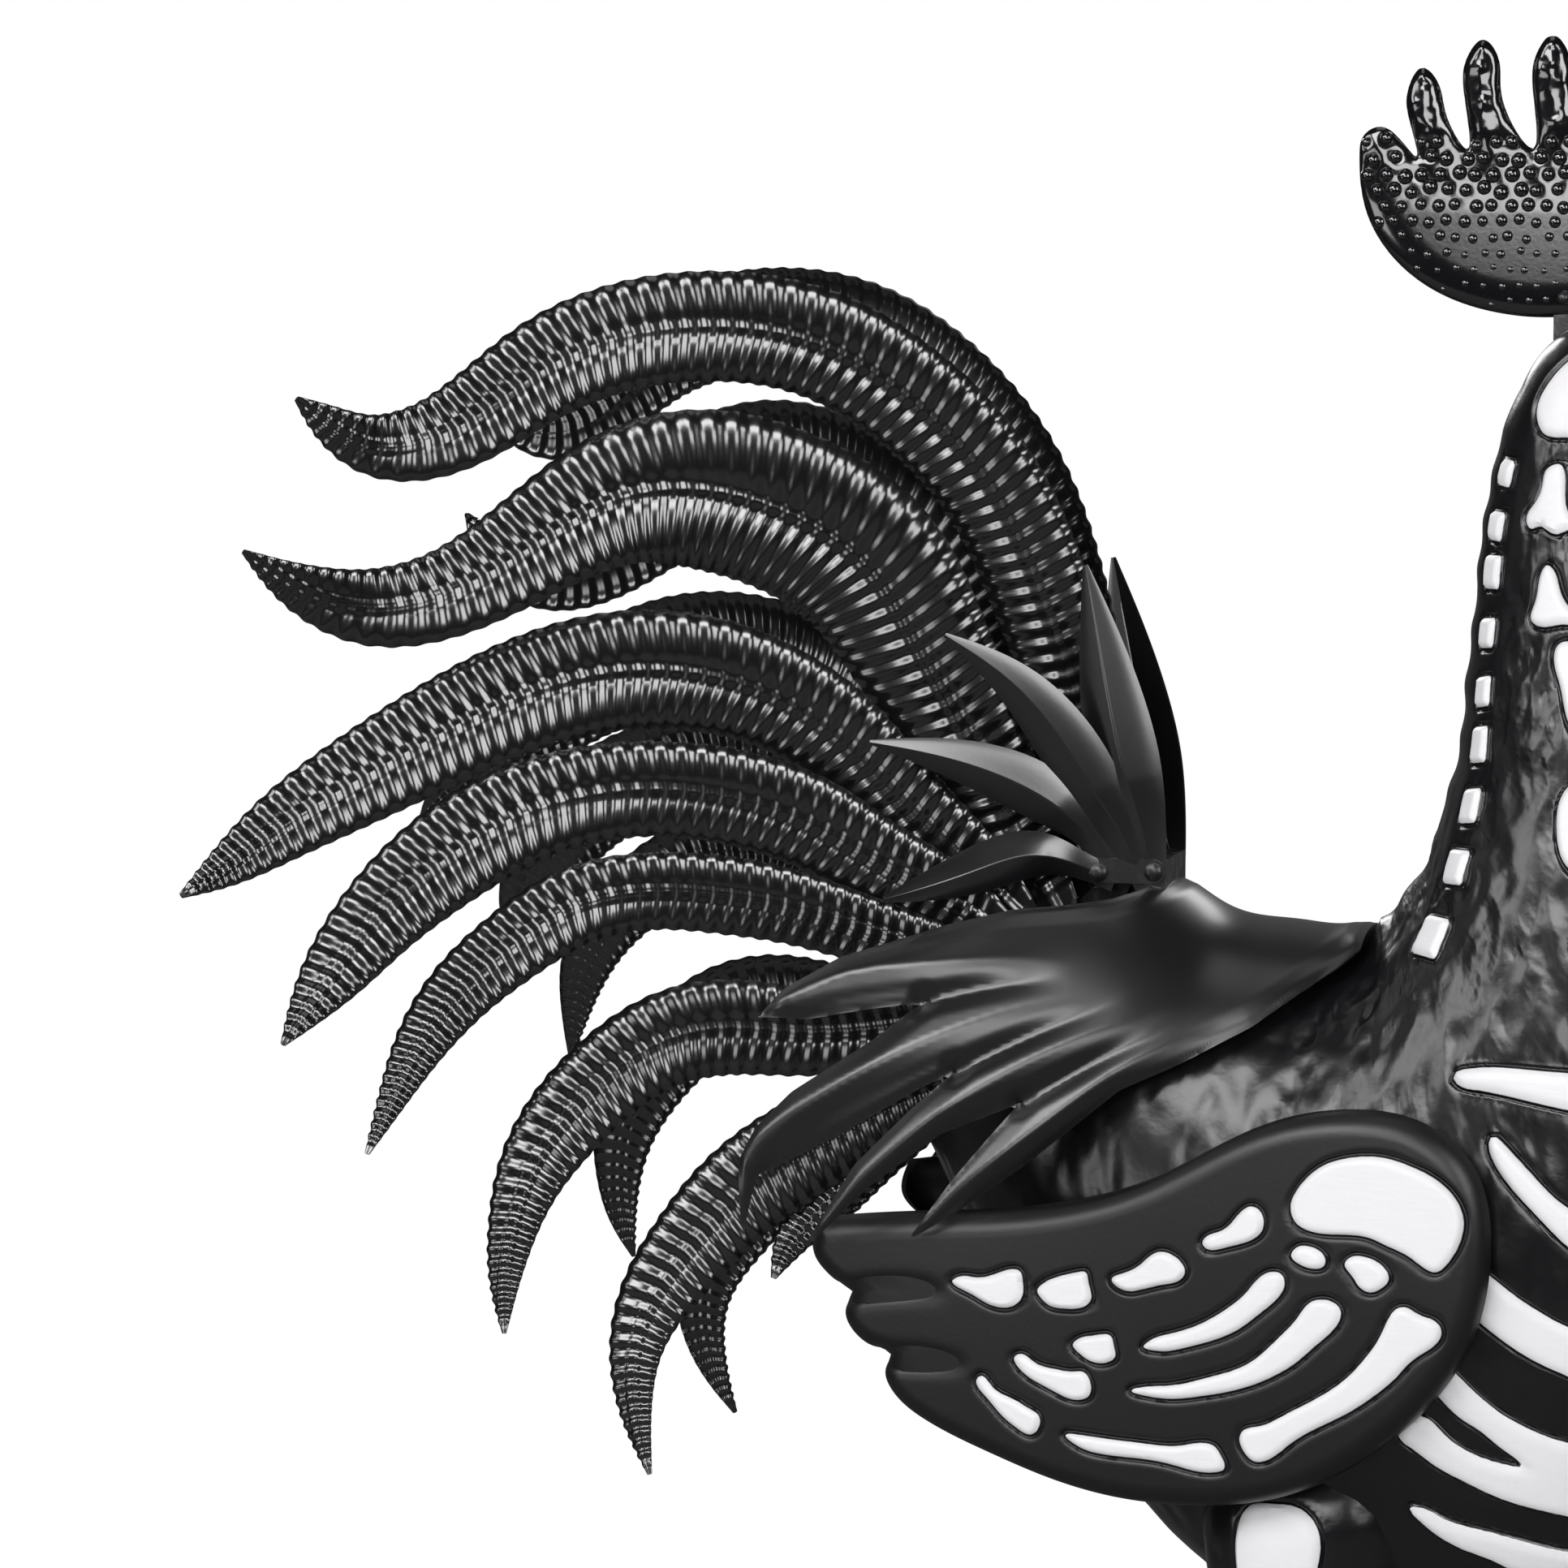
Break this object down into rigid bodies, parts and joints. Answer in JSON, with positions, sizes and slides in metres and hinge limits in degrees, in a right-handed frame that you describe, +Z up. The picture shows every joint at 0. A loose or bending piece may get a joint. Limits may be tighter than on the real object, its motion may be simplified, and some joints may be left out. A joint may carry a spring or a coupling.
{
  "type": "rooster sculpture",
  "caption": "Standing garden rooster of painted sheet metal, black with raised white bones, a fan of long curved tail feathers, a pointed comb and flat feet.",
  "frame": {"origin": "on the ground, under the middle of the bird's outline seen from above", "axes": "+X the way the head looks, +Z up, the bird's right side on -Y"},
  "size_m": [0.9216, 0.3922, 1.2157],
  "materials": {
    "leg_paint": "semi-gloss black paint",
    "body_paint": "semi-gloss black paint over hammered sheet, with raised bones painted white",
    "plain_steel": "plain mill-finish steel inside the bird",
    "comb_paint": "gloss black paint",
    "fastener_paint": "bolts painted over in satin black",
    "feather_paint": "satin black paint",
    "eye_paint": "gloss white paint with a black pupil",
    "cape_paint": "satin black paint",
    "wing_paint": "semi-gloss black paint, with raised bones painted white"
  },
  "bodies": {
    "root": {"beak_lower": "leg_paint", "beak_upper": "leg_paint", "body_shell_left": "body_paint", "body_shell_right": "body_paint", "bracket_screws": "plain_steel", "comb_left": "comb_paint", "comb_nuts": "fastener_paint", "comb_right": "comb_paint", "comb_screws": "fastener_paint", "comb_tabs": "fastener_paint", "covert_bolts": "fastener_paint", "covert_bracket": "fastener_paint", "covert_nuts": "fastener_paint", "covert_spacers": "fastener_paint", "covert_spray_left": "feather_paint", "covert_spray_right": "feather_paint", "eye_left": "eye_paint", "eye_right": "eye_paint", "foot_left": "leg_paint", "foot_right": "leg_paint", "head_shell_left": "body_paint", "head_shell_right": "body_paint", "leg_collars": "plain_steel", "leg_mount_plate": "plain_steel", "neck_collar": "plain_steel", "saddle_cape": "cape_paint", "saddle_pegs": "plain_steel", "shank_left": "leg_paint", "shank_right": "leg_paint", "tail_bracket": "fastener_paint", "tail_bulkhead": "plain_steel", "tail_feather_1_left": "feather_paint", "tail_feather_1_right": "feather_paint", "tail_feather_2_left": "feather_paint", "tail_feather_2_right": "feather_paint", "tail_feather_3_left": "feather_paint", "tail_feather_3_right": "feather_paint", "tail_feather_4_left": "feather_paint", "tail_feather_4_right": "feather_paint", "tail_feather_5_left": "feather_paint", "tail_feather_5_right": "feather_paint", "tail_feather_6_left": "feather_paint", "tail_feather_6_right": "feather_paint", "tail_feather_7_left": "feather_paint", "tail_feather_7_right": "feather_paint", "tail_feather_8_left": "feather_paint", "tail_feather_8_right": "feather_paint", "tail_hub_bolts": "fastener_paint", "tail_hub_nuts": "fastener_paint", "tail_spacers": "fastener_paint", "thigh_left": "leg_paint", "thigh_right": "leg_paint", "wattle_left": "comb_paint", "wattle_right": "comb_paint", "wing_left": "wing_paint", "wing_right": "wing_paint", "wing_studs": "plain_steel"}
  },
  "joints": []
}
